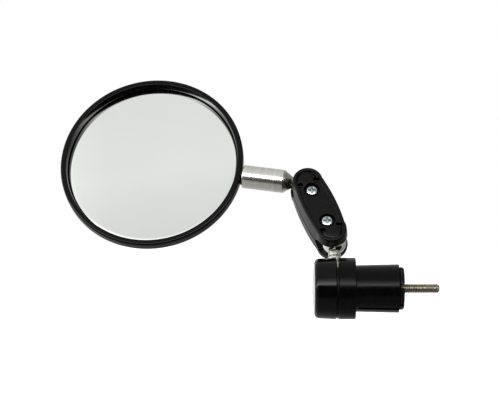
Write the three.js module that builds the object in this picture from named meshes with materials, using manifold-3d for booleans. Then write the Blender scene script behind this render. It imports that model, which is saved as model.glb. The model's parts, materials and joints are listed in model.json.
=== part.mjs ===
// Bar-end bicycle mirror: a split plug with a swivelling hub, a two-shell clamp link
// between two ball joints, a turned steel stem and a round mirror head.
//
// Millimetres, +Z up. The origin is on the plug's axis, on the shoulder that meets the
// handlebar's end. +X runs into the handlebar and the rider looks along +Y.

import * as THREE from 'three';
import { mergeVertices } from 'three/addons/utils/BufferGeometryUtils.js';
import Module from 'manifold-3d';

const wasm = await Module();
wasm.setup();

// ---- driving dimensions ----

const CLEARANCE = 0.3; // between pieces that touch, fit or slide on each other

// hub, measured along X from the shoulder
const HUB_RADIUS = 12.7;
const SHOULDER_X = 0;
const FLANGE_OUTER_X = -7.0; // face of the flange that the swivel plate lies against
const PLATE_THICKNESS = 0.6;
const PLATE_RADIUS = 12.4;
const PLATE_TAB_SIZE = 4.0; // the tab that carries the stud's foot
const SEAM_GAP = 0.2; // each side of the plate
const CAP_END_X = -17.0;
const CAP_END_RADIUS = 12.35;
const CAP_CORNER = 2.0;
const BADGE_RADIUS = 10.2;
const BADGE_DEPTH = 1.0;
const BADGE_CROWN = 0.8;
const PIVOT_RADIUS = 6.0; // spigot that the swivel plate turns on
const EDGE_BREAK = 0.3; // small chamfers of moulded and turned edges

// plug sleeve and its expander
const SLEEVE_ROOT_RADIUS = 9.6;
const SLEEVE_TIP_RADIUS = 10.0;
const SLEEVE_LENGTH = 17.9;
const SLIT_WIDTH = 1.4;
const SLIT_ANGLE = 57; // degrees below the horizontal, towards the rider
const SLIT_START_X = 1.0;
const CONE_TIP_RADIUS = 8.8;
const CONE_ROOT_RADIUS = 6.4;
const CONE_START_X = 9.0;
const CONE_END_X = 20.0;
const CONE_CORNER = 0.7;
const CONE_NOTCHES = 3; // slots across the end, so twice as many notches
const CONE_NOTCH_WIDTH = 2.0;
const CONE_NOTCH_DEPTH = 1.6;
const CONE_NOTCH_TURN = 20; // degrees of the first slot from vertical

// M4 clamp bolt
const BOLT_RADIUS = 2.0;
const BOLT_TIP_X = 34.6;
const BOLT_HEAD_X = -11.2; // underside of the head
const BOLT_HEAD_HEIGHT = 4.0;
const BOLT_HEAD_RADIUS = 3.5;
const BOLT_SOCKET_FLATS = 3.0;
const BOLT_SOCKET_DEPTH = 2.0;
const BOLT_TIP_CHAMFER = 0.9;
const BOLT_NUT_FLATS = 7.0;
const BOLT_NUT_HEIGHT = 3.2;
const BOLT_NUT_RECESS = 2.0; // how far the nut lies below the core's end
const WASHER_RADIUS = 4.5;
const WASHER_THICKNESS = 0.8;

// the linkage lies in one plane, which leans back from the hub's axis
const PLANE_LEAN = 30.5; // degrees back from vertical
const STUD_X = -8.5;
const FOOT_RADIUS = 3.1;
const FOOT_HEIGHT = 1.4;
const STUD_RADIUS = 2.6;
const LOWER_BALL_HEIGHT = 21.6; // from the hub's axis, in the leaning plane
const BALL_RADIUS = 5.0;
const BALL_SPACING = 31.0;
const LINK_SWING = 22.8; // degrees from the stud's direction
const STEM_SWING = 55.87; // degrees from the link's direction
const STEM_TILT = -5.26; // degrees out of the link's middle plane
const HEAD_TWIST = -5.84; // degrees about the stem

// clamp link, seen from its front face
const LINK_END_RADIUS = 6.3;
const LINK_BOW = 8; // degrees that each side leaves its end arcs at, so the middle is wider
const LINK_TIP_PAST_BALL = 3.15;
const LINK_FRONT_Z = 7.9;
const LINK_REAR_Z = -7.0;
const LINK_SPLIT = 0.2; // half the gap between the shells
const LINK_END_FLARE = 1.25; // how much longer each end is at the split than at the face
const LINK_SIDE_FLARE = 0.35;
const REAR_DRAFT_DEPTH = 12; // the rear shell's sides would lose all their flare at this depth
const REAR_OVERHANG = 0.6; // how much longer each end of the rear shell is
const LINK_EDGE = 0.6; // rounding of the front edge
const LINK_BACK_EDGE = 1.2; // rounding of the back edge
const RIM_WIDTH = 1.3;
const FLOOR_DEPTH = 1.0;
const DOME_RADIUS = 4.2;
const DOME_HEIGHT = 0.75;
const PIT_RADIUS = 1.2; // small pits at the domes' edges
const PIT_SIDE = 3.6; // from the link's middle plane
const PIT_END = 11.8; // from the link's middle
const PIT_DEPTH = 2.4;
const RELIEF_HALF_GAP = 3.2; // the neck's way out between the shells
const RELIEF_START = 1.8; // where the full gap begins, from the ball towards the middle
const RELIEF_RUN = 2.8;
const SCREW_FROM_MIDDLE = 8.0;
const COUNTERBORE_RADIUS = 3.3;
const COUNTERBORE_Z = 4.4;
const SCREW_RADIUS = 1.5;
const SCREW_HEAD_RADIUS = 2.55;
const SCREW_HEAD_HEIGHT = 2.3;
const SCREW_CROSS = [3.4, 0.8, 2.2]; // one bar of the driver's cross, half of it above the head
const SCREW_CROSS_TURN = -20;
const SCREW_TIP_Z = -6.4;
const NUT_FLATS = 5.5;
const NUT_HEIGHT = 2.3;
const NUT_OUTER_Z = -6.7;

// stem, measured from the upper ball's centre towards the head
const STEM_RADIUS = 4.9;
const STEM_NECK_RADIUS = 2.1;
const STEM_CONE_END = 8.9;
const STEM_END = 26.4;
const SPIGOT_RADIUS = 2.4;
const SPIGOT_END = 29.0;
const HEAD_DISTANCE = 65.95;

// mirror head, measured along its normal from the stem's axis
const HEAD_RADIUS = 39.1;
const RIM_FRONT_Z = 3.9;
const RIM_REAR_Z = -0.1;
const RIM_ROUNDING = 0.9;
const RIM_INNER_RADIUS = 36.75;
const SEAT_RADIUS = 36.2;
const SEAT_Z = -3.2;
const SEAT_INNER_RADIUS = 33.2;
const SEAT_THICKNESS = 1.0;
const HOUSING_DEPTH = 11.6;
const HOUSING_WALL = 1.8;
const BACK_EDGE_POWER = 5; // a higher power gives the back fuller shoulders
const BACK_SLOPE_POWER = 1.2; // 1 makes a cone near the side wall, 2 a vertical start
const BOSS_RADIUS = 3.6;
const BOSS_END = 39.25;
const BOSS_ROOT = 37.2;
const BOSS_BORE_START = 36.65;
const GLASS_RADIUS = 35.9;
const GLASS_EDGE_Z = 0.0;
const GLASS_THICKNESS = 2.0;
const GLASS_CROWN = 1.1;

const FINE = 48; // sides of the head
const ROUND = 32; // sides of the hub
const SMALL = 20; // sides of balls, stem and fasteners

const radians = THREE.MathUtils.degToRad;

// ---- shape helpers ----

// Points on an arc, as [radius, along] pairs of a turned profile.
function arc(radius, along, size, from, to, steps) {
  return Array.from({ length: steps + 1 }, (_, i) => {
    const angle = radians(from + ((to - from) * i) / steps);
    return [radius + size * Math.cos(angle), along + size * Math.sin(angle)];
  });
}

// A solid of revolution about +Y. The profile's points are [radius, along] pairs. It starts and
// ends on the axis, or is a ring's outline that this function closes.
function turned(profile, sides) {
  const points = profile.map(([radius, along]) => new THREE.Vector2(radius, along));
  if (THREE.ShapeUtils.area(points) < 0) points.reverse();
  if (points[0].x > 0) points.push(points[0].clone());
  return new THREE.LatheGeometry(points, sides);
}

function turnedAlongX(profile, sides) {
  return turned(profile, sides).rotateZ(-Math.PI / 2);
}

function turnedAlongZ(profile, sides) {
  return turned(profile, sides).rotateX(Math.PI / 2);
}

function box(size, centre) {
  return new THREE.BoxGeometry(...size).translate(...centre);
}

// A closed solid for cutting and joining, from any geometry above.
function solid(geometry) {
  const bare = geometry.clone();
  bare.deleteAttribute('normal');
  bare.deleteAttribute('uv');
  const merged = mergeVertices(bare, 1e-4);
  const corners = merged.index.array;
  const triangles = [];
  for (let i = 0; i < corners.length; i += 3) {
    const [a, b, c] = corners.slice(i, i + 3);
    if (a !== b && b !== c && c !== a) triangles.push(a, b, c);
  }
  const mesh = new wasm.Mesh({
    numProp: 3,
    vertProperties: merged.attributes.position.array,
    triVerts: new Uint32Array(triangles),
  });
  return new wasm.Manifold(mesh);
}

function geometryOf(manifold) {
  const mesh = manifold.getMesh();
  const geometry = new THREE.BufferGeometry();
  geometry.setAttribute('position', new THREE.BufferAttribute(mesh.vertProperties, 3));
  geometry.setIndex(new THREE.BufferAttribute(mesh.triVerts, 1));
  return geometry;
}

function cut(geometry, tools) {
  const left = tools.reduce((body, tool) => body.subtract(solid(tool)), solid(geometry));
  return geometryOf(left);
}

function join(geometries) {
  const [first, ...others] = geometries.map(solid);
  return geometryOf(others.reduce((body, other) => body.add(other), first));
}

// A hexagonal prism along +Z from its lower face, with a round bore where one is given.
function hexagon(flats, height, boreRadius) {
  const corner = flats / Math.sqrt(3);
  const outline = new THREE.Shape();
  for (let i = 0; i < 6; i++) {
    const angle = radians(60 * i);
    const [x, y] = [corner * Math.cos(angle), corner * Math.sin(angle)];
    if (i === 0) outline.moveTo(x, y);
    else outline.lineTo(x, y);
  }
  outline.closePath();
  if (boreRadius) {
    outline.holes.push(new THREE.Path().absarc(0, 0, boreRadius, 0, 2 * Math.PI, true));
  }
  return new THREE.ExtrudeGeometry(outline, {
    depth: height,
    bevelEnabled: false,
    curveSegments: SMALL / 2,
  });
}

// ---- materials ----

function finish(color, roughness, metalness) {
  return () => new THREE.MeshStandardMaterial({ color, roughness, metalness });
}

const glossBlack = finish(0x141414, 0.25, 0);
const satinBlack = finish(0x1b1b1b, 0.45, 0);
const brightSteel = finish(0xd6d6d2, 0.2, 1);
const zincSteel = finish(0xaebcc4, 0.35, 1);
const boltSteel = finish(0x8a8478, 0.4, 1);
const badgeSilver = finish(0xd8d9da, 0.35, 0.3);
const foamGrey = finish(0x4a4a4a, 0.9, 0);
const mirrorSilver = finish(0xe2e6e0, 0.05, 1);

function piece(name, geometry, material) {
  const mesh = new THREE.Mesh(geometry, material());
  mesh.name = name;
  return mesh;
}

// ---- hub and plug, along X ----

const PLATE_X = FLANGE_OUTER_X - SEAM_GAP; // the plate's side nearer the handlebar
const CAP_INNER_X = PLATE_X - PLATE_THICKNESS - SEAM_GAP;
const BOLT_BORE = BOLT_RADIUS + CLEARANCE;

// The sleeve's two slits lie opposite each other, on one plane through the axis.
function slitTool() {
  const length = SLEEVE_LENGTH - SLIT_START_X + 1;
  const middle = SLIT_START_X + length / 2;
  return box([length, SLIT_WIDTH, 3 * HUB_RADIUS], [middle, 0, 0])
    .rotateX(radians(SLIT_ANGLE - 90));
}

function plugBody() {
  const pivotEnd = CAP_INNER_X + CLEARANCE / 2;
  const boreRoot = CONE_ROOT_RADIUS + CLEARANCE;
  const boreTip = CONE_TIP_RADIUS - CLEARANCE / 2;
  const body = turnedAlongX([
    [BOLT_BORE, pivotEnd],
    [PIVOT_RADIUS, pivotEnd],
    [PIVOT_RADIUS, FLANGE_OUTER_X],
    [HUB_RADIUS - EDGE_BREAK, FLANGE_OUTER_X],
    [HUB_RADIUS, FLANGE_OUTER_X + EDGE_BREAK],
    [HUB_RADIUS, SHOULDER_X - EDGE_BREAK],
    [HUB_RADIUS - EDGE_BREAK, SHOULDER_X],
    [SLEEVE_ROOT_RADIUS, SHOULDER_X],
    [SLEEVE_TIP_RADIUS, SLEEVE_LENGTH],
    [boreTip, SLEEVE_LENGTH],
    [boreRoot, CONE_START_X - CLEARANCE],
    [boreRoot, SLIT_START_X],
    [BOLT_BORE, SLIT_START_X],
  ], ROUND);
  return cut(body, [slitTool()]);
}

function expanderCone() {
  const body = turnedAlongX([
    [BOLT_BORE, CONE_START_X],
    [CONE_ROOT_RADIUS - CLEARANCE, CONE_START_X],
    [CONE_TIP_RADIUS - 2 * CLEARANCE, SLEEVE_LENGTH],
    [CONE_TIP_RADIUS, SLEEVE_LENGTH + CLEARANCE],
    [CONE_TIP_RADIUS, CONE_END_X - CONE_CORNER],
    [CONE_TIP_RADIUS - CONE_CORNER, CONE_END_X],
    [BOLT_BORE, CONE_END_X],
  ], ROUND);
  const notches = Array.from({ length: CONE_NOTCHES }, (_, i) => {
    const size = [2 * CONE_NOTCH_DEPTH, CONE_NOTCH_WIDTH, 3 * CONE_TIP_RADIUS];
    const turn = CONE_NOTCH_TURN + (180 * i) / CONE_NOTCHES;
    return box(size, [CONE_END_X, 0, 0]).rotateX(radians(turn));
  });
  const pocketDepth = BOLT_NUT_RECESS + BOLT_NUT_HEIGHT + CLEARANCE;
  const pocket = hexagon(BOLT_NUT_FLATS + 2 * CLEARANCE, pocketDepth + 1)
    .rotateY(Math.PI / 2)
    .translate(CONE_END_X - pocketDepth, 0, 0);
  return cut(body, [...notches, pocket]);
}

function expanderNut() {
  return hexagon(BOLT_NUT_FLATS, BOLT_NUT_HEIGHT, BOLT_BORE)
    .rotateY(Math.PI / 2)
    .translate(CONE_END_X - BOLT_NUT_RECESS - BOLT_NUT_HEIGHT, 0, 0);
}

function clampBolt() {
  const headEnd = BOLT_HEAD_X - BOLT_HEAD_HEIGHT;
  const body = turnedAlongX([
    [0, headEnd],
    [BOLT_HEAD_RADIUS - EDGE_BREAK, headEnd],
    [BOLT_HEAD_RADIUS, headEnd + EDGE_BREAK],
    [BOLT_HEAD_RADIUS, BOLT_HEAD_X],
    [BOLT_RADIUS, BOLT_HEAD_X],
    [BOLT_RADIUS, BOLT_TIP_X - BOLT_TIP_CHAMFER],
    [BOLT_RADIUS - BOLT_TIP_CHAMFER, BOLT_TIP_X],
    [0, BOLT_TIP_X],
  ], SMALL);
  const socket = hexagon(BOLT_SOCKET_FLATS, 2 * BOLT_SOCKET_DEPTH)
    .rotateY(Math.PI / 2)
    .translate(headEnd - BOLT_SOCKET_DEPTH, 0, 0);
  return cut(body, [socket]);
}

function boltWasher() {
  const inner = BOLT_HEAD_X + SEAM_GAP;
  return turnedAlongX([
    [BOLT_BORE, inner],
    [WASHER_RADIUS, inner],
    [WASHER_RADIUS, inner + WASHER_THICKNESS],
    [BOLT_BORE, inner + WASHER_THICKNESS],
  ], SMALL);
}

function endCap() {
  const counterboreX = BOLT_HEAD_X + SEAM_GAP + WASHER_THICKNESS + SEAM_GAP;
  const badgeSeatX = CAP_END_X + BADGE_DEPTH;
  const badgeWall = BADGE_RADIUS + CLEARANCE;
  const counterbore = WASHER_RADIUS + CLEARANCE;
  return turnedAlongX([
    [BOLT_BORE, CAP_INNER_X],
    [BOLT_BORE, counterboreX],
    [counterbore, counterboreX],
    [counterbore, badgeSeatX],
    [badgeWall, badgeSeatX],
    [badgeWall, CAP_END_X],
    ...arc(CAP_END_RADIUS - CAP_CORNER, CAP_END_X + CAP_CORNER, CAP_CORNER, 280, 360, 4),
    [HUB_RADIUS, CAP_INNER_X - EDGE_BREAK],
    [HUB_RADIUS - EDGE_BREAK, CAP_INNER_X],
  ], ROUND);
}

function capBadge() {
  const seatX = CAP_END_X + BADGE_DEPTH - SEAM_GAP;
  const crown = [0.4, 0.7, 0.9, 1].map((part) => [
    BADGE_RADIUS * (1 - part),
    CAP_END_X - BADGE_CROWN * (1 - (1 - part) ** 2),
  ]);
  return turnedAlongX([
    [0, seatX],
    [BADGE_RADIUS, seatX],
    [BADGE_RADIUS, CAP_END_X],
    ...crown,
  ], ROUND);
}

// ---- swivel plate, stud and lower ball, in the leaning plane: +Y up it, +Z to the rider ----

function swivelPlate() {
  const outerX = PLATE_X - PLATE_THICKNESS;
  const footBottom = HUB_RADIUS + CLEARANCE;
  const disc = turnedAlongX([
    [PIVOT_RADIUS + CLEARANCE, outerX],
    [PLATE_RADIUS, outerX],
    [PLATE_RADIUS, PLATE_X],
    [PIVOT_RADIUS + CLEARANCE, PLATE_X],
  ], ROUND);
  const tab = box(
    [PLATE_THICKNESS, PLATE_TAB_SIZE, PLATE_TAB_SIZE],
    [(outerX + PLATE_X) / 2, footBottom - PLATE_TAB_SIZE / 4, 0],
  );
  const foot = turned([
    [0, footBottom],
    [FOOT_RADIUS, footBottom],
    [FOOT_RADIUS, footBottom + FOOT_HEIGHT / 2],
    [STUD_RADIUS, footBottom + FOOT_HEIGHT],
    [0, footBottom + FOOT_HEIGHT],
  ], SMALL).translate(STUD_X, 0, 0);
  return join([disc, tab, foot]);
}

// The end of a neck is hollowed to follow the ball at a fixed clearance. Heights are from the
// ball's centre.
function hollowEnd(neckRadius) {
  const size = BALL_RADIUS + CLEARANCE;
  const edge = THREE.MathUtils.radToDeg(Math.acos(neckRadius / size));
  return arc(0, 0, size, 90, edge, 4);
}

function ballStud() {
  const bottom = LOWER_BALL_HEIGHT - (HUB_RADIUS + FOOT_HEIGHT + 2 * CLEARANCE);
  return turned([
    ...hollowEnd(STUD_RADIUS),
    [STUD_RADIUS, bottom],
    [0, bottom],
  ], SMALL).rotateX(Math.PI);
}

function ball() {
  return new THREE.SphereGeometry(BALL_RADIUS, SMALL, SMALL / 2).rotateX(Math.PI / 2);
}

// ---- clamp link: origin at the lower ball, +Y to the upper ball, +Z out of the front face ----

const LINK_MIDDLE = BALL_SPACING / 2;
const LINK_ARC_CENTRE = LINK_MIDDLE + LINK_TIP_PAST_BALL - LINK_END_RADIUS;
const LINK_SPLIT_BLOCK = 60; // larger than the link each way
const BALL_ENDS = [-1, 1];

// A plate with round ends and slightly bowed sides, about the link's middle.
function linkPlate(endRadius, low, high, edge, endY = LINK_ARC_CENTRE) {
  const bow = radians(LINK_BOW);
  const sideX = endRadius * Math.cos(bow);
  const sideY = endY - endRadius * Math.sin(bow);
  const bowX = sideX + sideY * Math.tan(bow);
  const outline = new THREE.Shape();
  outline.absarc(0, endY, endRadius, -bow, Math.PI + bow);
  outline.quadraticCurveTo(-bowX, 0, -sideX, -sideY);
  outline.absarc(0, -endY, endRadius, Math.PI - bow, 2 * Math.PI + bow);
  outline.quadraticCurveTo(bowX, 0, sideX, sideY);
  const plate = new THREE.ExtrudeGeometry(outline, {
    depth: high - low - 2 * edge,
    bevelEnabled: edge > 0,
    bevelThickness: edge,
    bevelSize: edge,
    bevelOffset: -edge,
    bevelSegments: 2,
    curveSegments: 8,
  });
  return plate.translate(0, 0, low + edge);
}

// Widens a plate towards the split between the shells. There is no flare at the given depth.
function flare(plate, depthZ) {
  const position = plate.attributes.position;
  for (let i = 0; i < position.count; i++) {
    const [x, y, z] = [position.getX(i), position.getY(i), position.getZ(i)];
    const part = THREE.MathUtils.clamp(1 - z / depthZ, 0, 1);
    position.setX(i, x * (1 + (LINK_SIDE_FLARE / LINK_END_RADIUS) * part));
    position.setY(i, y + Math.sign(y) * LINK_END_FLARE * part);
  }
  return plate;
}

// The room that both shells leave for a ball and for its neck to swing in.
function ballRoom(end) {
  const ballY = end * LINK_MIDDLE;
  const pocket = new THREE.SphereGeometry(BALL_RADIUS + CLEARANCE, SMALL, SMALL / 2)
    .rotateX(Math.PI / 2)
    .translate(0, ballY, 0);
  const gap = new THREE.Shape();
  const reach = 4 * LINK_TIP_PAST_BALL;
  gap.moveTo(-RELIEF_START - RELIEF_RUN, 0);
  gap.lineTo(-RELIEF_START, -RELIEF_HALF_GAP);
  gap.lineTo(reach, -RELIEF_HALF_GAP);
  gap.lineTo(reach, RELIEF_HALF_GAP);
  gap.lineTo(-RELIEF_START, RELIEF_HALF_GAP);
  gap.closePath();
  const across = 4 * LINK_END_RADIUS;
  const relief = new THREE.ExtrudeGeometry(gap, { depth: across, bevelEnabled: false });
  const alongY = new THREE.Vector3(0, end, 0);
  const alongZ = new THREE.Vector3(0, 0, 1);
  const alongX = new THREE.Vector3(end, 0, 0);
  relief.translate(0, 0, -across / 2);
  relief.applyMatrix4(new THREE.Matrix4().makeBasis(alongY, alongZ, alongX));
  return [pocket, relief.translate(0, ballY, 0)];
}

function screwHole(y) {
  const radius = SCREW_RADIUS + CLEARANCE;
  return turnedAlongZ([
    [0, 2 * LINK_REAR_Z],
    [radius, 2 * LINK_REAR_Z],
    [radius, COUNTERBORE_Z],
    [COUNTERBORE_RADIUS, COUNTERBORE_Z],
    [COUNTERBORE_RADIUS, 2 * LINK_FRONT_Z],
    [0, 2 * LINK_FRONT_Z],
  ], SMALL).translate(0, y, 0);
}

function linkFrontShell() {
  const below = LINK_SPLIT - LINK_SPLIT_BLOCK / 2;
  const plate = linkPlate(LINK_END_RADIUS, -LINK_FRONT_Z, LINK_FRONT_Z, LINK_EDGE);
  const floorZ = LINK_FRONT_Z - FLOOR_DEPTH;
  const floor = linkPlate(LINK_END_RADIUS - RIM_WIDTH, floorZ, 2 * LINK_FRONT_Z, 0);
  const belowSplit = box(Array(3).fill(LINK_SPLIT_BLOCK), [0, 0, below]);
  const holes = BALL_ENDS.map((end) => screwHole(end * SCREW_FROM_MIDDLE));
  const domes = BALL_ENDS.map((end) => turnedAlongZ([
    [0, floorZ - 1],
    [DOME_RADIUS, floorZ - 1],
    [DOME_RADIUS, floorZ],
    [DOME_RADIUS * 0.85, floorZ + DOME_HEIGHT * 0.6],
    [DOME_RADIUS * 0.5, floorZ + DOME_HEIGHT * 0.9],
    [0, floorZ + DOME_HEIGHT],
  ], SMALL).translate(0, end * (LINK_ARC_CENTRE + 0.8), 0));
  const pits = BALL_ENDS.flatMap((end) => BALL_ENDS.map((side) => turnedAlongZ([
    [0, floorZ - PIT_DEPTH],
    [PIT_RADIUS, floorZ - PIT_DEPTH],
    [PIT_RADIUS, 2 * LINK_FRONT_Z],
    [0, 2 * LINK_FRONT_Z],
  ], SMALL / 2).translate(side * PIT_SIDE, end * PIT_END, 0)));
  const domed = join([cut(flare(plate, LINK_FRONT_Z), [floor]), ...domes]);
  return cut(domed, [belowSplit, ...BALL_ENDS.flatMap(ballRoom), ...holes, ...pits]);
}

function linkRearShell() {
  const above = LINK_SPLIT_BLOCK / 2 - LINK_SPLIT;
  const endY = LINK_ARC_CENTRE + REAR_OVERHANG;
  const plate = linkPlate(LINK_END_RADIUS, LINK_REAR_Z, -LINK_REAR_Z, LINK_BACK_EDGE, endY);
  const aboveSplit = box(Array(3).fill(LINK_SPLIT_BLOCK), [0, 0, above]);
  const holes = BALL_ENDS.map((end) => screwHole(end * SCREW_FROM_MIDDLE));
  const pocketTop = NUT_OUTER_Z + NUT_HEIGHT + CLEARANCE;
  const pocketLength = 2 * NUT_HEIGHT;
  const nutPockets = BALL_ENDS.map((end) => hexagon(NUT_FLATS + 2 * CLEARANCE, pocketLength)
    .translate(0, end * SCREW_FROM_MIDDLE, pocketTop - pocketLength));
  const flared = flare(plate, -REAR_DRAFT_DEPTH);
  return cut(flared, [aboveSplit, ...BALL_ENDS.flatMap(ballRoom), ...holes, ...nutPockets]);
}

function linkScrew() {
  const under = COUNTERBORE_Z + SEAM_GAP;
  const top = under + SCREW_HEAD_HEIGHT;
  const body = turnedAlongZ([
    [0, SCREW_TIP_Z],
    [SCREW_RADIUS - EDGE_BREAK, SCREW_TIP_Z],
    [SCREW_RADIUS, SCREW_TIP_Z + EDGE_BREAK],
    [SCREW_RADIUS, under],
    [SCREW_HEAD_RADIUS, under],
    [SCREW_HEAD_RADIUS, under + 0.5 * SCREW_HEAD_HEIGHT],
    [SCREW_HEAD_RADIUS * 0.85, top - EDGE_BREAK],
    [SCREW_HEAD_RADIUS * 0.5, top],
    [0, top],
  ], SMALL);
  const cross = [0, 90].map((turn) => box(SCREW_CROSS, [0, 0, top])
    .rotateZ(radians(turn + SCREW_CROSS_TURN)));
  return cut(body, cross);
}

function linkNut() {
  return hexagon(NUT_FLATS, NUT_HEIGHT, SCREW_RADIUS + SEAM_GAP).translate(0, 0, NUT_OUTER_Z);
}

// ---- stem: origin at the upper ball, +Y to the head ----

function stem() {
  return turned([
    ...hollowEnd(STEM_NECK_RADIUS),
    [STEM_RADIUS, STEM_CONE_END],
    [STEM_RADIUS, STEM_END - EDGE_BREAK],
    [STEM_RADIUS - EDGE_BREAK, STEM_END],
    [SPIGOT_RADIUS, STEM_END],
    [SPIGOT_RADIUS, SPIGOT_END],
    [0, SPIGOT_END],
  ], SMALL);
}

// ---- mirror head: origin on the stem's axis at the head's centre, +Z out of the glass ----

// Points of the housing's back, outwards from its middle, that sink to a depth behind the rim.
function backCurve(depth, parts) {
  return parts.map((part) => {
    const sink = (1 - part ** BACK_EDGE_POWER) ** (1 / BACK_SLOPE_POWER);
    return [HEAD_RADIUS * part, RIM_REAR_Z - depth * sink];
  });
}

function mirrorHousing() {
  const depth = HOUSING_DEPTH + RIM_REAR_Z;
  const outside = backCurve(depth, [0, 0.35, 0.6, 0.76, 0.86, 0.92, 0.96]);
  const inside = backCurve(depth - HOUSING_WALL, [0.76, 0.6, 0.35, 0]);
  const shell = turnedAlongZ([
    ...outside,
    [HEAD_RADIUS, RIM_REAR_Z],
    ...arc(HEAD_RADIUS - RIM_ROUNDING, RIM_FRONT_Z - RIM_ROUNDING, RIM_ROUNDING, 0, 90, 3),
    [RIM_INNER_RADIUS + EDGE_BREAK, RIM_FRONT_Z],
    [RIM_INNER_RADIUS, RIM_FRONT_Z - EDGE_BREAK],
    [SEAT_RADIUS, GLASS_EDGE_Z],
    [SEAT_RADIUS, SEAT_Z],
    [SEAT_INNER_RADIUS, SEAT_Z],
    [SEAT_INNER_RADIUS, SEAT_Z - SEAT_THICKNESS],
    ...inside,
  ], FINE);
  const boss = turned([
    [0, -BOSS_END],
    [BOSS_RADIUS, -BOSS_END],
    [BOSS_RADIUS, -BOSS_ROOT],
    [0, -BOSS_ROOT],
  ], SMALL);
  const boreRadius = SPIGOT_RADIUS + CLEARANCE;
  const bore = turned([
    [0, -BOSS_END - 1],
    [boreRadius, -BOSS_END - 1],
    [boreRadius, -BOSS_BORE_START],
    [0, -BOSS_BORE_START],
  ], SMALL);
  return cut(join([shell, boss]), [bore]);
}

function glassCushion() {
  const backZ = SEAT_Z + SEAM_GAP;
  const frontZ = GLASS_EDGE_Z - GLASS_THICKNESS - SEAM_GAP;
  const innerRadius = SEAT_INNER_RADIUS + SEAM_GAP;
  return turnedAlongZ([
    [innerRadius, backZ],
    [GLASS_RADIUS, backZ],
    [GLASS_RADIUS, frontZ],
    [innerRadius, frontZ],
  ], FINE);
}

function mirrorGlass() {
  const steps = [1, 0.75, 0.5, 0.25, 0];
  const crown = steps.map((part) => [
    GLASS_RADIUS * part,
    GLASS_EDGE_Z + GLASS_CROWN * (1 - part ** 2),
  ]);
  const back = crown.map(([radius, z]) => [radius, z - GLASS_THICKNESS]).reverse();
  return turnedAlongZ([...back, ...crown], FINE);
}

// ---- assembly ----

const mirror = new THREE.Group();
mirror.add(
  piece('plug_body', plugBody(), glossBlack),
  piece('expander_cone', expanderCone(), satinBlack),
  piece('expander_nut', expanderNut(), zincSteel),
  piece('clamp_bolt', clampBolt(), boltSteel),
  piece('bolt_washer', boltWasher(), zincSteel),
  piece('end_cap', endCap(), glossBlack),
  piece('cap_badge', capBadge(), badgeSilver),
);

const leaningPlane = new THREE.Group();
leaningPlane.rotation.x = radians(90 - PLANE_LEAN);
mirror.add(leaningPlane);
leaningPlane.add(piece('swivel_plate', swivelPlate(), brightSteel));

const lowerJoint = new THREE.Group();
lowerJoint.position.set(STUD_X, LOWER_BALL_HEIGHT, 0);
leaningPlane.add(lowerJoint);
lowerJoint.add(
  piece('ball_stud', ballStud(), brightSteel),
  piece('lower_ball', ball(), brightSteel),
);

const link = new THREE.Group();
link.rotation.z = radians(LINK_SWING);
lowerJoint.add(link);
const linkPieces = new THREE.Group();
linkPieces.position.y = LINK_MIDDLE;
link.add(linkPieces);
linkPieces.add(
  piece('link_front_shell', linkFrontShell(), satinBlack),
  piece('link_rear_shell', linkRearShell(), satinBlack),
);
for (const [place, end] of [['lower', -1], ['upper', 1]]) {
  const screw = piece(`link_screw_${place}`, linkScrew(), zincSteel);
  const nut = piece(`link_nut_${place}`, linkNut(), zincSteel);
  screw.position.y = end * SCREW_FROM_MIDDLE;
  nut.position.y = end * SCREW_FROM_MIDDLE;
  linkPieces.add(screw, nut);
}

const upperJoint = new THREE.Group();
upperJoint.position.y = BALL_SPACING;
upperJoint.rotation.set(radians(STEM_TILT), 0, radians(STEM_SWING), 'ZXY');
link.add(upperJoint);
upperJoint.add(
  piece('upper_ball', ball(), brightSteel),
  piece('stem', stem(), brightSteel),
);

const head = new THREE.Group();
head.position.y = HEAD_DISTANCE;
head.rotation.y = radians(HEAD_TWIST);
upperJoint.add(head);
head.add(
  piece('mirror_housing', mirrorHousing(), glossBlack),
  piece('glass_cushion', glassCushion(), foamGrey),
  piece('mirror_glass', mirrorGlass(), mirrorSilver),
);

export default mirror;
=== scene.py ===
"""A bar-end bicycle mirror: fine shapes, materials, floor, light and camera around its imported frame.

Shapes are drawn in millimetres, each in a local frame of its own. The local frames come from the
packed joints, so that every piece lies on the CAD node that it stands for.
"""

import json
import math

import bmesh
import bpy
from mathutils import Matrix, Vector


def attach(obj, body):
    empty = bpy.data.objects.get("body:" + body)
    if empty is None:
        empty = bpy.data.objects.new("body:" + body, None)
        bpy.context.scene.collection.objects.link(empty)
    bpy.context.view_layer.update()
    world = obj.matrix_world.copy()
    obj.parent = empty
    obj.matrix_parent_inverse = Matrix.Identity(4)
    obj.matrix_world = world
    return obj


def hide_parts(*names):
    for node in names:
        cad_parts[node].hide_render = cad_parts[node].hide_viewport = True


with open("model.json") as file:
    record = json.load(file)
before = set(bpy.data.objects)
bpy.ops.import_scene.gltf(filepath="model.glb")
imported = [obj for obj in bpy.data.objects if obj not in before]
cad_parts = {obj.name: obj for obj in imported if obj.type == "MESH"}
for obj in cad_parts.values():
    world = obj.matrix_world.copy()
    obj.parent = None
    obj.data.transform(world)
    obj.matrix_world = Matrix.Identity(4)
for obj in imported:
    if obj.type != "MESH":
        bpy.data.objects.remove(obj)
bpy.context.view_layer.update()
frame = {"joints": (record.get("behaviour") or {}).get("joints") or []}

# ---- sizes, in millimetres ----

MM = 0.001
CLEARANCE = 0.3
SEAM_GAP = 0.2
EDGE_BREAK = 0.3

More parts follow.
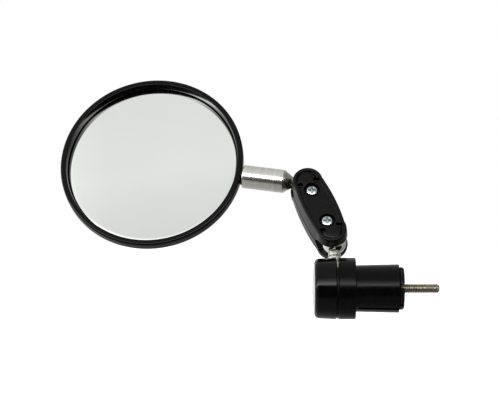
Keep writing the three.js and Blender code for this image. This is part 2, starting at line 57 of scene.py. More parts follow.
# hub, measured from the handlebar's end towards the handlebar
HUB_RADIUS = 12.7
FLANGE_OUTER = -7.0
PLATE_OUTER = -7.8
PLATE_THICKNESS = 0.6
PLATE_RADIUS = 12.4
PLATE_TAB_SIZE = 4.0
PLATE_SHADE_START = 0.55  # share of its radius: the painted shade in the seam brightens midway from there to the hub's side
CAP_INNER = -8.0
CAP_END = -17.0
CAP_END_RADIUS = 12.35
CAP_CORNER = 2.0
BADGE_RADIUS = 10.2
BADGE_DEPTH = 1.0
BADGE_CROWN = 0.8
PIVOT_RADIUS = 6.0
SLEEVE_ROOT_RADIUS = 9.6
SLEEVE_FILLET = 0.25  # where the sleeve meets the flange
SLEEVE_TIP_RADIUS = 10.0
SLEEVE_LENGTH = 17.9
SLIT_WIDTH = 1.4
SLIT_ANGLE = 57
SLIT_START = 1.0
CONE_TIP_RADIUS = 8.8
CONE_ROOT_RADIUS = 6.4
CONE_START = 9.0
CONE_END = 20.0
CONE_CORNER = 0.7
CONE_NOTCHES = 3
CONE_NOTCH_WIDTH = 2.0
CONE_NOTCH_DEPTH = 1.6
CONE_NOTCH_TURN = 20

# M4 bolt, its washer and nut
BOLT_RADIUS = 2.0
BOLT_PITCH = 0.7
BOLT_THREAD_START = 12.0
BOLT_TIP = 34.6
BOLT_TIP_CHAMFER = 0.9
BOLT_HEAD = -11.2
BOLT_HEAD_HEIGHT = 4.0
BOLT_HEAD_RADIUS = 3.5
BOLT_SOCKET_FLATS = 3.0
BOLT_SOCKET_DEPTH = 2.0
BOLT_NUT_FLATS = 7.0
BOLT_NUT_HEIGHT = 3.2
BOLT_NUT_RECESS = 2.0
BOLT_BORE = BOLT_RADIUS + CLEARANCE
WASHER_RADIUS = 4.5
WASHER_THICKNESS = 0.8

# balls and stud
BALL_RADIUS = 5.0
STUD_OFFSET = -8.5
STUD_RADIUS = 2.6
FOOT_RADIUS = 3.1
FOOT_HEIGHT = 1.4
LOWER_BALL_HEIGHT = 21.6

# clamp link, measured from its middle: y along it, z out of its front face
LINK_END_RADIUS = 6.3
LINK_ARC_CENTRE = 12.35
LINK_BOW = 8
LINK_FRONT = 7.9
LINK_REAR = -7.0
REAR_OVERHANG = 0.6
LINK_SPLIT = 0.2
LINK_END_FLARE = 1.25
LINK_SIDE_FLARE = 0.35
REAR_DRAFT_DEPTH = 12
LINK_EDGE = 0.6
LINK_BACK_EDGE = 1.2
RIM_WIDTH = 1.3
FLOOR_DEPTH = 1.0
FLOOR_DRAFT = 0.2
DOME_RADIUS = 4.2
DOME_HEIGHT = 0.75
DOME_OFFSET = 0.8  # past the centre of the end's arc
PIT_RADIUS = 1.2
PIT_SIDE = 3.6
PIT_END = 11.8
PIT_DEPTH = 2.4
RELIEF_FRONT = 3.3  # half gaps for the necks, with room for their round sides
RELIEF_REAR = 3.5
RELIEF_START = 1.8
RELIEF_RUN = 2.8
RELIEF_REACH = 12  # past the ends and the sides of the link
SCREW_FROM_MIDDLE = 8.0
COUNTERBORE_RADIUS = 3.3
COUNTERBORE_FLOOR = 4.4
SCREW_RADIUS = 1.5
SCREW_PITCH = 0.5
SCREW_HEAD_RADIUS = 2.55
SCREW_HEAD_HEIGHT = 2.3
SCREW_SHANK = 2.0  # the plain part under the head
SCREW_CROSS_TOP = (1.8, 0.52)  # half length and half width of each wing
SCREW_CROSS_BOTTOM = (0.5, 0.08)
SCREW_CROSS_DEPTH = 1.4
SCREW_CROSS_TURN = -20
SCREW_TIP = -6.4
SCREW_TIP_CHAMFER = 0.4
NUT_FLATS = 5.5
NUT_HEIGHT = 2.3
NUT_OUTER = -6.7

# stem, measured from the upper ball towards the head
STEM_RADIUS = 4.9
STEM_NECK_RADIUS = 2.1
STEM_CONE_END = 8.9
STEM_END = 26.4
SPIGOT_RADIUS = 2.4
SPIGOT_END = 29.0
HEAD_DISTANCE = 65.95
HEAD_TWIST = -5.84

# head, measured from the stem's axis out of the glass
HEAD_RADIUS = 39.1
RIM_FRONT = 3.9
RIM_REAR = -0.1
RIM_ROUNDING = 0.9
RIM_INNER_RADIUS = 36.75
SEAT_RADIUS = 36.2
SEAT_INNER_RADIUS = 33.2
SEAT_FLOOR = -3.2
SEAT_THICKNESS = 1.0
HOUSING_DEPTH = 11.6
HOUSING_WALL = 1.8
BACK_EDGE_POWER = 5
BACK_SLOPE_POWER = 1.2
HOLLOW_SHARE = 0.8  # how far out the hollow behind the glass goes
BOSS_RADIUS = 3.6
BOSS_END = 39.25
BOSS_ROOT = 37.2
BOSS_BORE_START = 36.65
GLASS_RADIUS = 35.9
GLASS_EDGE = 0.0
GLASS_THICKNESS = 2.0
GLASS_CROWN = 1.1

HEAD_SIDES = 160
HUB_SIDES = 120
SMALL_SIDES = 56
THREAD_SIDES = 36
SIDE_STEPS = 13  # steps along each bowed side, an odd number
THREAD_STEPS = 8  # rings for each turn of a thread
THREAD_DEPTH = 0.6  # share of the pitch
MOULD_VOXEL = 0.14
MOULD_SMOOTHING = 4  # passes
SHARP = math.radians(32)
ON_AXIS = 1e-6
MIDDLE_RANGE = (0.3, 0.7)  # where most of a noise's values lie
DRAWN = "drawn"  # each vertex's place in its local frame, which the materials' grain follows

# ---- local frames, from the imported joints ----

joints = {joint["name"]: joint for joint in frame["joints"]}


def joint_point(name):
    return Vector(joints[name]["pos_m"])


def joint_axis(name):
    return Vector(joints[name]["axis"]).normalized()


def local_frame(origin, along_y, along_z):
    """The matrix from a local frame to the row frame. The two axes are at right angles."""
    matrix = Matrix((along_y.cross(along_z), along_y, along_z)).transposed().to_4x4()
    matrix.translation = origin
    return matrix


up = Vector((0, 0, 1))
hub_axis = joint_axis("hub_swivel")
lower_ball = joint_point("lower_ball_swing")
upper_ball = joint_point("upper_ball_swing")
link_axis = (upper_ball - lower_ball).normalized()
stud_axis = joint_axis("stud_twist")
link_face = joint_axis("lower_ball_swing")
stem_axis = joint_axis("head_twist")
square_to_stem = (link_face - link_face.project(stem_axis)).normalized()
head_face = Matrix.Rotation(math.radians(HEAD_TWIST), 3, stem_axis) @ square_to_stem

HUB = local_frame(Vector(), up, hub_axis)
STUD = local_frame(lower_ball, link_face, stud_axis)
LINK = local_frame((lower_ball + upper_ball) / 2, link_axis, link_face)
STEM = local_frame(upper_ball, head_face, stem_axis)
HEAD = local_frame(upper_ball + stem_axis * HEAD_DISTANCE * MM, stem_axis, head_face)

# ---- shapes ----


def ring(radius, along, sides):
    """Points on a circle about the local z axis, or the one point on the axis."""
    if radius < ON_AXIS:
        return [(0, 0, along)]
    turns = [2 * math.pi * i / sides for i in range(sides)]
    return [(radius * math.cos(a), radius * math.sin(a), along) for a in turns]


def skin(rings, closed=False):
    """A closed mesh through rings of points. Its end rings are capped, or joined if it is closed."""
    bm = bmesh.new()
    loops = [[bm.verts.new(point) for point in points] for points in rings]
    pairs = list(zip(loops, loops[1:]))
    if closed:
        pairs.append((loops[-1], loops[0]))
    for first, second in pairs:
        sides = max(len(first), len(second))
        for i in range(sides):
            corners = [first[i % len(first)], first[(i + 1) % len(first)]]
            corners += [second[(i + 1) % len(second)], second[i % len(second)]]
            bm.faces.new(list(dict.fromkeys(corners)))
    if not closed:
        for loop in (loops[0], loops[-1]):
            if len(loop) > 1:
                bm.faces.new(loop)
    bmesh.ops.recalc_face_normals(bm, faces=bm.faces)
    mesh = bpy.data.meshes.new("shape")
    bm.to_mesh(mesh)
    bm.free()
    return mesh


def arc(radius, along, size, start, stop, steps=10):
    """Points on an arc of a turned outline, from one angle to another."""
    turns = [math.radians(start + (stop - start) * i / steps) for i in range(steps + 1)]
    return [(radius + size * math.cos(a), along + size * math.sin(a)) for a in turns]


def softened(outline, radius, closed):
    """The outline with each corner rounded by up to that radius."""
    points = [Vector(point) for point in outline]
    result = []
    for i, corner in enumerate(points):
        before = points[i - 1] - corner
        after = points[(i + 1) % len(points)] - corner
        at_end = not closed and i in (0, len(points) - 1)
        if at_end or radius == 0 or before.angle(-after) < math.radians(14):
            result.append(corner)
            continue
        start = corner + before.normalized() * min(radius, 0.4 * before.length)
        end = corner + after.normalized() * min(radius, 0.4 * after.length)
        for t in (0, 0.3, 0.7, 1):
            result.append(start.lerp(corner, t).lerp(corner.lerp(end, t), t))
    return result


def turned(outline, sides=SMALL_SIDES, soft=0.12):
    """A solid of revolution about local z, from (radius, along) pairs that start and end on the
    axis, or that go round a ring."""
    closed = outline[0][0] > ON_AXIS
    profile = softened(outline, soft, closed)
    return skin([ring(radius, along, sides) for radius, along in profile], closed)


def prism(flats, low, high):
    """A hexagonal bar with that size across its flats."""
    return skin([ring(flats / math.sqrt(3), along, 6) for along in (low, high)])


def block(size, centre):
    """A box, as a skin through its lower and upper rectangle."""
    x, y, z = (side / 2 for side in size)
    corners = [(-x, -y), (x, -y), (x, y), (-x, y)]
    mesh = skin([[(a, b, level) for a, b in corners] for level in (-z, z)])
    return moved(mesh, Matrix.Translation(centre))


def moved(mesh, matrix):
    mesh.transform(matrix)
    return mesh


def turn(degrees, axis):
    return Matrix.Rotation(math.radians(degrees), 4, axis)


def thread(radius, pitch, start, end, end_chamfer):
    """Rings of a rod with a helical thread, and a chamfer at its end."""
    depth = THREAD_DEPTH * pitch
    rows = round((end - start) / pitch * THREAD_STEPS)
    rings = []
    for row in range(rows + 1):
        along = start + (end - start) * row / rows
        chamfer = radius - end_chamfer + (end - along)
        points = []
        for side in range(THREAD_SIDES):
            share = side / THREAD_SIDES
            wave = abs(2 * ((along / pitch - share) % 1) - 1)
            # the wave is cut off for flat crests and roots
            cut = depth * min(1, max(0, 1.3 * wave - 0.15))
            here = min(radius - cut * min(1, (along - start) / pitch), chamfer)
            angle = 2 * math.pi * share
            points.append((here * math.cos(angle), here * math.sin(angle), along))
        rings.append(points)
    return rings


def evaluated(mesh, modifiers):
    """The mesh after Blender modifiers, given as (type, settings) pairs."""
    carrier = bpy.data.objects.new("carrier", mesh)
    bpy.context.scene.collection.objects.link(carrier)
    for kind, settings in modifiers:
        modifier = carrier.modifiers.new(kind, kind)
        for key, value in settings.items():
            setattr(modifier, key, value)
    result = bpy.data.meshes.new_from_object(
        carrier.evaluated_get(bpy.context.evaluated_depsgraph_get())
    )
    bpy.data.objects.remove(carrier)
    return result


def combined(mesh, tools, operation):
    """The mesh cut by its tools (DIFFERENCE), joined (UNION) or kept inside them (INTERSECT)."""
    carriers = [bpy.data.objects.new("tool", tool) for tool in tools]
    for carrier in carriers:
        bpy.context.scene.collection.objects.link(carrier)
    result = evaluated(mesh, [
        ("BOOLEAN", {"operation": operation, "object": carrier, "solver": "EXACT"})
        for carrier in carriers
    ])
    for carrier in carriers:
        bpy.data.objects.remove(carrier)
    return result


def moulded(mesh, voxel, smoothing):
    """The mesh with the small rounded edges of a moulding."""
    return evaluated(mesh, [
        ("REMESH", {"mode": "VOXEL", "voxel_size": voxel}),
        ("SMOOTH", {"factor": 0.5, "iterations": smoothing}),
    ])


# ---- pieces of the hub ----


def slit_cutter():
    length = SLEEVE_LENGTH - SLIT_START + 1
    cutter = block((SLIT_WIDTH, 3 * HUB_RADIUS, length), (0, 0, SLIT_START + length / 2))
    return moved(cutter, turn(SLIT_ANGLE - 90, "Z"))


def plug_shape():
    pivot_end = CAP_INNER + CLEARANCE / 2
    bore_root = CONE_ROOT_RADIUS + CLEARANCE
    body = turned([
        (BOLT_BORE, pivot_end),
        (PIVOT_RADIUS, pivot_end),
        (PIVOT_RADIUS, FLANGE_OUTER),
        (HUB_RADIUS, FLANGE_OUTER),
        (HUB_RADIUS, 0),
        (SLEEVE_ROOT_RADIUS + SLEEVE_FILLET, 0),
        (SLEEVE_ROOT_RADIUS, SLEEVE_FILLET),
        (SLEEVE_TIP_RADIUS, SLEEVE_LENGTH),
        (CONE_TIP_RADIUS - CLEARANCE / 2, SLEEVE_LENGTH),
        (bore_root, CONE_START - CLEARANCE),
        (bore_root, SLIT_START),
        (BOLT_BORE, SLIT_START),
    ], HUB_SIDES, 0.35)
    return combined(body, [slit_cutter()], "DIFFERENCE")


def expander_shape():
    body = turned([
        (BOLT_BORE, CONE_START),
        (CONE_ROOT_RADIUS - CLEARANCE, CONE_START),
        (CONE_TIP_RADIUS - 2 * CLEARANCE, SLEEVE_LENGTH),
        (CONE_TIP_RADIUS, SLEEVE_LENGTH + CLEARANCE),
        (CONE_TIP_RADIUS, CONE_END - CONE_CORNER),
        (CONE_TIP_RADIUS - CONE_CORNER, CONE_END),
        (BOLT_BORE, CONE_END),
    ], HUB_SIDES, 0.3)
    notch = (CONE_NOTCH_WIDTH, 3 * CONE_TIP_RADIUS, 2 * CONE_NOTCH_DEPTH)
    notches = [
        moved(block(notch, (0, 0, CONE_END)), turn(CONE_NOTCH_TURN + 180 * i / CONE_NOTCHES, "Z"))
        for i in range(CONE_NOTCHES)
    ]
    pocket_floor = CONE_END - BOLT_NUT_RECESS - BOLT_NUT_HEIGHT - CLEARANCE
    pocket = prism(BOLT_NUT_FLATS + 2 * CLEARANCE, pocket_floor, CONE_END + 1)
    return combined(body, [*notches, pocket], "DIFFERENCE")


def nut_shape(flats, low, high, bore):
    """A hexagon nut with chamfered corners."""
    corner = flats / math.sqrt(3)
    chamfer = turned([
        (bore, low),
        (0.5 * flats, low),
        (corner, low + 0.3 * (corner - 0.5 * flats) + 0.15),
        (corner, high - 0.3 * (corner - 0.5 * flats) - 0.15),
        (0.5 * flats, high),
        (bore, high),
    ], SMALL_SIDES, 0.1)
    return combined(chamfer, [prism(flats, low - 1, high + 1)], "INTERSECT")


def bolt_shape():
    end = BOLT_HEAD - BOLT_HEAD_HEIGHT
    head = softened([
        (0, end),
        (BOLT_HEAD_RADIUS, end),
        (BOLT_HEAD_RADIUS, BOLT_HEAD),
        (BOLT_RADIUS, BOLT_HEAD),
        (BOLT_RADIUS, BOLT_THREAD_START - 1),
    ], 0.3, False)
    rings = [ring(radius, along, THREAD_SIDES) for radius, along in head]
    rings += thread(BOLT_RADIUS, BOLT_PITCH, BOLT_THREAD_START, BOLT_TIP, BOLT_TIP_CHAMFER)
    socket = prism(BOLT_SOCKET_FLATS, end - 1, end + BOLT_SOCKET_DEPTH)
    return combined(skin(rings), [socket], "DIFFERENCE")


def washer_shape():
    inner = BOLT_HEAD + SEAM_GAP
    outer = inner + WASHER_THICKNESS
    return turned([
        (BOLT_BORE, inner),
        (WASHER_RADIUS, inner),
        (WASHER_RADIUS, outer),
        (BOLT_BORE, outer),
    ])


def cap_shape():
    counterbore_floor = BOLT_HEAD + 2 * SEAM_GAP + WASHER_THICKNESS
    counterbore = WASHER_RADIUS + CLEARANCE
    seat = CAP_END + BADGE_DEPTH
    return turned([
        (BOLT_BORE, CAP_INNER),
        (BOLT_BORE, counterbore_floor),
        (counterbore, counterbore_floor),
        (counterbore, seat),
        (BADGE_RADIUS + CLEARANCE, seat),
        (BADGE_RADIUS + CLEARANCE, CAP_END),
        *arc(CAP_END_RADIUS - CAP_CORNER, CAP_END + CAP_CORNER, CAP_CORNER, 275, 360),
        (HUB_RADIUS, CAP_INNER),
    ], HUB_SIDES, 0.35)


def badge_shape():
    seat = CAP_END + BADGE_DEPTH - SEAM_GAP
    steps = [i / 12 for i in range(1, 13)]
    crown = [(BADGE_RADIUS * (1 - t), CAP_END - BADGE_CROWN * (1 - (1 - t) ** 2)) for t in steps]
    return turned([(0, seat), (BADGE_RADIUS, seat), (BADGE_RADIUS, CAP_END), *crown], HUB_SIDES, 0.15)


def plate_shape():
    """The swivel plate, in the hub's frame: a ring, its tab and its foot."""
    inner = PLATE_OUTER + PLATE_THICKNESS
    bottom = HUB_RADIUS + CLEARANCE
    eye = PIVOT_RADIUS + CLEARANCE
    plate = turned([
        (eye, PLATE_OUTER),
        (PLATE_RADIUS, PLATE_OUTER),
        (PLATE_RADIUS, inner),
        (eye, inner),
    ], HUB_SIDES, 0.08)
    tab = block((PLATE_TAB_SIZE, PLATE_TAB_SIZE, PLATE_THICKNESS),
                (0, bottom - PLATE_TAB_SIZE / 4, (PLATE_OUTER + inner) / 2))
    foot = turned([
        (0, bottom),
        (FOOT_RADIUS, bottom),
        (FOOT_RADIUS, bottom + FOOT_HEIGHT / 2),
        (STUD_RADIUS, bottom + FOOT_HEIGHT),
        (0, bottom + FOOT_HEIGHT),
    ])
    upright = Matrix.Translation((0, 0, STUD_OFFSET)) @ turn(-90, "X")
    lean = math.degrees(stud_axis.angle(up))
    return moved(combined(plate, [tab, moved(foot, upright)], "UNION"), turn(-lean, "Z"))


# ---- pieces of the ball joints ----


def hollow_end(neck_radius):
    """The dished end of a neck, round the ball at the frame's origin."""
    size = BALL_RADIUS + CLEARANCE
    return arc(0, 0, size, 90, math.degrees(math.acos(neck_radius / size)), 8)


def stud_shape():
    bottom = LOWER_BALL_HEIGHT - (HUB_RADIUS + FOOT_HEIGHT + 2 * CLEARANCE)
    neck = turned([*hollow_end(STUD_RADIUS), (STUD_RADIUS, bottom), (0, bottom)])
    return moved(neck, turn(180, "X"))


def ball_shape(radius=BALL_RADIUS, along=0):
    return turned(arc(0, along, radius, -90, 90, 36), 72, 0)


def stem_shape():
    return turned([
        *hollow_end(STEM_NECK_RADIUS),
        (STEM_RADIUS, STEM_CONE_END),
        (STEM_RADIUS, STEM_END - EDGE_BREAK),
        (STEM_RADIUS - EDGE_BREAK, STEM_END),
        (SPIGOT_RADIUS, STEM_END),
        (SPIGOT_RADIUS, SPIGOT_END),
        (0, SPIGOT_END),
    ], 96, 0.15)


# ---- pieces of the clamp link ----


def link_outline(inset, level, depth, overhang=0):
    """A round-ended outline with bowed sides. It widens towards the split, from the depth where it
    has no flare."""
    part = min(1, max(0, 1 - level / depth))
    wider = 1 + LINK_SIDE_FLARE / LINK_END_RADIUS * part
    longer = LINK_END_FLARE * part
    radius = LINK_END_RADIUS - inset
    bow = math.radians(LINK_BOW)
    side_x = radius * math.cos(bow)
    centre = LINK_ARC_CENTRE + overhang
    side_y = centre - radius * math.sin(bow)
    bow_x = side_x + side_y * math.tan(bow)
    half = arc(0, centre, radius, -LINK_BOW, 180 + LINK_BOW, 24)
    for i in range(1, SIDE_STEPS):
        t = i / SIDE_STEPS
        x = side_x * (t * t + (1 - t) ** 2) + 2 * bow_x * t * (1 - t)
        half.append((-x, side_y * (1 - 2 * t)))
    points = half + [(-x, -y) for x, y in half]
    return [(x * wider, y + math.copysign(longer, y), level) for x, y in points]


def ball_cutters(ball_distance):
    """Cutters for the balls and for their necks' ways out between the shells."""
    cutters = []
    gap = [
        (-RELIEF_START - RELIEF_RUN, 0),
        (-RELIEF_START, -RELIEF_REAR),
        (RELIEF_REACH, -RELIEF_REAR),
        (RELIEF_REACH, RELIEF_FRONT),
        (-RELIEF_START, RELIEF_FRONT),
    ]
    for end in (-1, 1):
        middle = end * ball_distance
        cutters.append(moved(ball_shape(BALL_RADIUS + CLEARANCE), Matrix.Translation((0, middle, 0))))
        sides = (-RELIEF_REACH, RELIEF_REACH)
        cutters.append(skin([[(x, middle + end * y, z) for y, z in gap] for x in sides]))
    return cutters


def screw_cutters():
    radius = SCREW_RADIUS + CLEARANCE
    outline = [
        (0, 2 * LINK_REAR),
        (radius, 2 * LINK_REAR),
        (radius, COUNTERBORE_FLOOR),
        (COUNTERBORE_RADIUS, COUNTERBORE_FLOOR),
        (COUNTERBORE_RADIUS, 2 * LINK_FRONT),
        (0, 2 * LINK_FRONT),
    ]
    places = [Matrix.Translation((0, end * SCREW_FROM_MIDDLE, 0)) for end in (-1, 1)]
    return [moved(turned(outline, SMALL_SIDES, 0), place) for place in places]


def front_shell_shape(ball_distance):
    floor = LINK_FRONT - FLOOR_DEPTH
    edge = [
        link_outline(LINK_EDGE - radius, level, LINK_FRONT)
        for radius, level in arc(0, LINK_FRONT - LINK_EDGE, LINK_EDGE, 0, 90, 6)
    ]
    shell = skin([
        link_outline(0, LINK_SPLIT, LINK_FRONT),
        *edge,
        link_outline(RIM_WIDTH, LINK_FRONT, LINK_FRONT),
        link_outline(RIM_WIDTH + FLOOR_DRAFT, floor, LINK_FRONT),
    ])
    domes = [
        moved(turned([
            (0, floor - 1),
            (DOME_RADIUS, floor - 1),
            (DOME_RADIUS, floor),
            (DOME_RADIUS * 0.85, floor + DOME_HEIGHT * 0.6),
            (DOME_RADIUS * 0.5, floor + DOME_HEIGHT * 0.9),
            (0, floor + DOME_HEIGHT),
        ], SMALL_SIDES, 0.5), Matrix.Translation((0, end * (LINK_ARC_CENTRE + DOME_OFFSET), 0)))
        for end in (-1, 1)
    ]
    pit = [ring(PIT_RADIUS, along, SMALL_SIDES) for along in (floor - PIT_DEPTH, 2 * LINK_FRONT)]
    pits = [
        moved(skin(pit), Matrix.Translation((side * PIT_SIDE, end * PIT_END, 0)))
        for side in (-1, 1) for end in (-1, 1)
    ]
    domed = combined(shell, domes, "UNION")
    cutters = [*ball_cutters(ball_distance), *screw_cutters(), *pits]
    return moulded(combined(domed, cutters, "DIFFERENCE"), MOULD_VOXEL, MOULD_SMOOTHING)


def rear_shell_shape(ball_distance):
    shell = skin([
        link_outline(0, -LINK_SPLIT, -REAR_DRAFT_DEPTH, REAR_OVERHANG),
        *(link_outline(LINK_BACK_EDGE - radius, level, -REAR_DRAFT_DEPTH, REAR_OVERHANG)
          for radius, level in arc(0, LINK_REAR + LINK_BACK_EDGE, LINK_BACK_EDGE, 0, -90, 8)),
    ])
    pocket_top = NUT_OUTER + NUT_HEIGHT + CLEARANCE
    pockets = [
        moved(prism(NUT_FLATS + 2 * CLEARANCE, 2 * LINK_REAR, pocket_top),
              Matrix.Translation((0, end * SCREW_FROM_MIDDLE, 0)))
        for end in (-1, 1)
    ]
    cutters = [*ball_cutters(ball_distance), *screw_cutters(), *pockets]
    return moulded(combined(shell, cutters, "DIFFERENCE"), MOULD_VOXEL, MOULD_SMOOTHING)


def screw_shape():
    """A pan-head machine screw with a cross recess."""
    under = COUNTERBORE_FLOOR + SEAM_GAP
    top = under + SCREW_HEAD_HEIGHT
    head = softened([
        (SCREW_RADIUS, under),
        (SCREW_HEAD_RADIUS, under),
        (SCREW_HEAD_RADIUS, under + 0.5 * SCREW_HEAD_HEIGHT),
        (SCREW_HEAD_RADIUS * 0.85, top - 0.3),
        (SCREW_HEAD_RADIUS * 0.5, top),
        (0, top),
    ], 0.25, False)
    shank = [
        [(x, y, -along) for x, y, along in points]
        for points in thread(
            SCREW_RADIUS, SCREW_PITCH, SCREW_SHANK - under, -SCREW_TIP, SCREW_TIP_CHAMFER
        )
    ]
    rings = [*reversed(shank), *(ring(radius, along, THREAD_SIDES) for radius, along in head)]
    levels = [(*SCREW_CROSS_TOP, top + 0.1), (*SCREW_CROSS_BOTTOM, top - SCREW_CROSS_DEPTH)]
    wing = [[(-x, -y, z), (x, -y, z), (x, y, z), (-x, y, z)] for x, y, z in levels]
    cross = [
        moved(skin(wing), turn(angle, "Z"))
        for angle in (SCREW_CROSS_TURN, SCREW_CROSS_TURN + 90)
    ]
    return combined(skin(rings), cross, "DIFFERENCE")


# ---- pieces of the head ----


def back_curve(depth, shares):
    """Outline points of the housing's back, which sink to that depth behind the rim's side."""
    points = []
    for share in shares:
        sink = (1 - share ** BACK_EDGE_POWER) ** (1 / BACK_SLOPE_POWER)
        points.append((HEAD_RADIUS * share, RIM_REAR - depth * sink))
    return points


def housing_shape():
    depth = HOUSING_DEPTH + RIM_REAR
    shares = [math.sin(math.radians(angle)) for angle in range(0, 87, 3)]
    low_shares = [share for share in reversed(shares) if share < HOLLOW_SHARE]
    shell = turned([
        *back_curve(depth, shares),
        (HEAD_RADIUS, RIM_REAR),
        *arc(HEAD_RADIUS - RIM_ROUNDING, RIM_FRONT - RIM_ROUNDING, RIM_ROUNDING, 0, 90),
        (RIM_INNER_RADIUS, RIM_FRONT),
        (SEAT_RADIUS, GLASS_EDGE),
        (SEAT_RADIUS, SEAT_FLOOR),
        (SEAT_INNER_RADIUS, SEAT_FLOOR),
        (SEAT_INNER_RADIUS, SEAT_FLOOR - SEAT_THICKNESS),
        *back_curve(depth - HOUSING_WALL, low_shares),
    ], HEAD_SIDES, 0.3)
    boss = turned([
        (0, BOSS_ROOT),
        (BOSS_RADIUS, BOSS_ROOT),
        (BOSS_RADIUS, BOSS_END),
        (0, BOSS_END),
    ])
    bore_radius = SPIGOT_RADIUS + CLEARANCE
    bore = skin([ring(bore_radius, along, SMALL_SIDES) for along in (BOSS_BORE_START, BOSS_END + 1)])
    towards_stem = turn(90, "X")
    joined = combined(shell, [moved(boss, towards_stem)], "UNION")
    return combined(joined, [moved(bore, towards_stem)], "DIFFERENCE")


def cushion_shape():
    inner = SEAT_INNER_RADIUS + SEAM_GAP
    back = SEAT_FLOOR + SEAM_GAP
    front = GLASS_EDGE - GLASS_THICKNESS - SEAM_GAP
    return turned([
        (inner, back),
        (GLASS_RADIUS, back),
        (GLASS_RADIUS, front),
        (inner, front),
    ], HEAD_SIDES, 0.2)


def glass_shape():
    steps = [i / 20 for i in range(21)]
    front = [(GLASS_RADIUS * t, GLASS_EDGE + GLASS_CROWN * (1 - t * t)) for t in reversed(steps)]
    back = [(radius, along - GLASS_THICKNESS) for radius, along in reversed(front)]
    return turned([*back, *front], HEAD_SIDES, 0.25)


# ---- materials ----


def material(name, colour, roughness, metallic=0, **inputs):
    """A Principled material. Other shader inputs are given by name, with _ for a space."""
    made = bpy.data.materials.new(name)
    made.use_nodes = True
    shader = made.node_tree.nodes["Principled BSDF"]
    shader.inputs["Base Color"].default_value = (*colour, 1)
    shader.inputs["Roughness"].default_value = roughness
    shader.inputs["Metallic"].default_value = metallic
    for key, value in inputs.items():
        shader.inputs[key.replace("_", " ")].default_value = value
    made.diffuse_color = (*colour, 1)
    return made


def grain(made, size, stretch=(1, 1, 1), detail=3):
    """A noise over the piece with grains of about that size in millimetres."""
    nodes, links = made.node_tree.nodes, made.node_tree.links
    place = nodes.new("ShaderNodeAttribute")
    place.attribute_name = DRAWN
    scale = nodes.new("ShaderNodeMapping")
    scale.inputs["Scale"].default_value = stretch
    noise = nodes.new("ShaderNodeTexNoise")
    noise.inputs["Scale"].default_value = 1 / size
    noise.inputs["Detail"].default_value = detail
    links.new(place.outputs["Vector"], scale.inputs["Vector"])
    links.new(scale.outputs["Vector"], noise.inputs["Vector"])
    return noise.outputs["Fac"]


def ranged(made, source, low, high):
    """The source's middle range, spread from low to high."""
    node = made.node_tree.nodes.new("ShaderNodeMapRange")
    node.inputs["From Min"].default_value = MIDDLE_RANGE[0]
    node.inputs["From Max"].default_value = MIDDLE_RANGE[1]
    node.inputs["To Min"].default_value = low
    node.inputs["To Max"].default_value = high
    made.node_tree.links.new(source, node.inputs["Value"])
    return node.outputs["Result"]


def vary_roughness(made, source, low, high):
    shader = made.node_tree.nodes["Principled BSDF"]
    made.node_tree.links.new(ranged(made, source, low, high), shader.inputs["Roughness"])


def vary_colour(made, source, dark, light):
    nodes, links = made.node_tree.nodes, made.node_tree.links
    mix = nodes.new("ShaderNodeMix")
    mix.data_type = "RGBA"
    mix.inputs["A"].default_value = (*dark, 1)
    mix.inputs["B"].default_value = (*light, 1)
    links.new(ranged(made, source, 0, 1), mix.inputs["Factor"])
    links.new(mix.outputs["Result"], nodes["Principled BSDF"].inputs["Base Color"])


def add_bump(made, source, height):
    """A bump of that height in millimetres."""
    nodes, links = made.node_tree.nodes, made.node_tree.links
    bump = nodes.new("ShaderNodeBump")
    bump.inputs["Strength"].default_value = 1
    bump.inputs["Distance"].default_value = height * MM
    links.new(source, bump.inputs["Height"])
    links.new(bump.outputs["Normal"], nodes["Principled BSDF"].inputs["Normal"])


def gloss_black():
    """Polished moulded plastic, with a faint waviness."""
    made = material("gloss_black", (0.0006, 0.0006, 0.0006), 0.1, Specular_IOR_Level=0.15)
    vary_roughness(made, grain(made, 6), 0.07, 0.14)
    vary_colour(made, grain(made, 3), (0.0004, 0.0004, 0.0005), (0.001, 0.0009, 0.0008))
    add_bump(made, grain(made, 5, detail=1), 0.004)
    return made


def plug_black():
    """The same plastic as it leaves the mould, less polished."""
    made = material("plug_black", (0.0006, 0.0006, 0.0006), 0.22, Specular_IOR_Level=0.1)
    vary_roughness(made, grain(made, 4), 0.15, 0.24)
    vary_colour(made, grain(made, 2), (0.0004, 0.0004, 0.0005), (0.0011, 0.001, 0.0009))
    add_bump(made, grain(made, 2.5, detail=2), 0.004)
    return made


def satin_black():
    """The clamp link's moulded shells, with a fine grain."""
    made = material("satin_black", (0.0015, 0.0015, 0.0015), 0.3, Specular_IOR_Level=0.15)
    vary_roughness(made, grain(made, 1.2), 0.24, 0.36)
    vary_colour(made, grain(made, 2.5), (0.001, 0.0009, 0.001), (0.0022, 0.002, 0.0018))
    add_bump(made, grain(made, 0.35, detail=4), 0.012)
    return made


def bright_steel():
    """Turned steel: fine marks go round the piece's own z axis."""
    made = material("bright_steel", (0.68, 0.675, 0.63), 0.21, metallic=1)
    marks = grain(made, 0.25, stretch=(0.02, 0.02, 1))
    vary_roughness(made, marks, 0.17, 0.26)
    vary_colour(made, grain(made, 1.5, stretch=(0.1, 0.1, 1)), (0.62, 0.61, 0.56), (0.74, 0.735, 0.69))
    add_bump(made, marks, 0.0006)
    return made


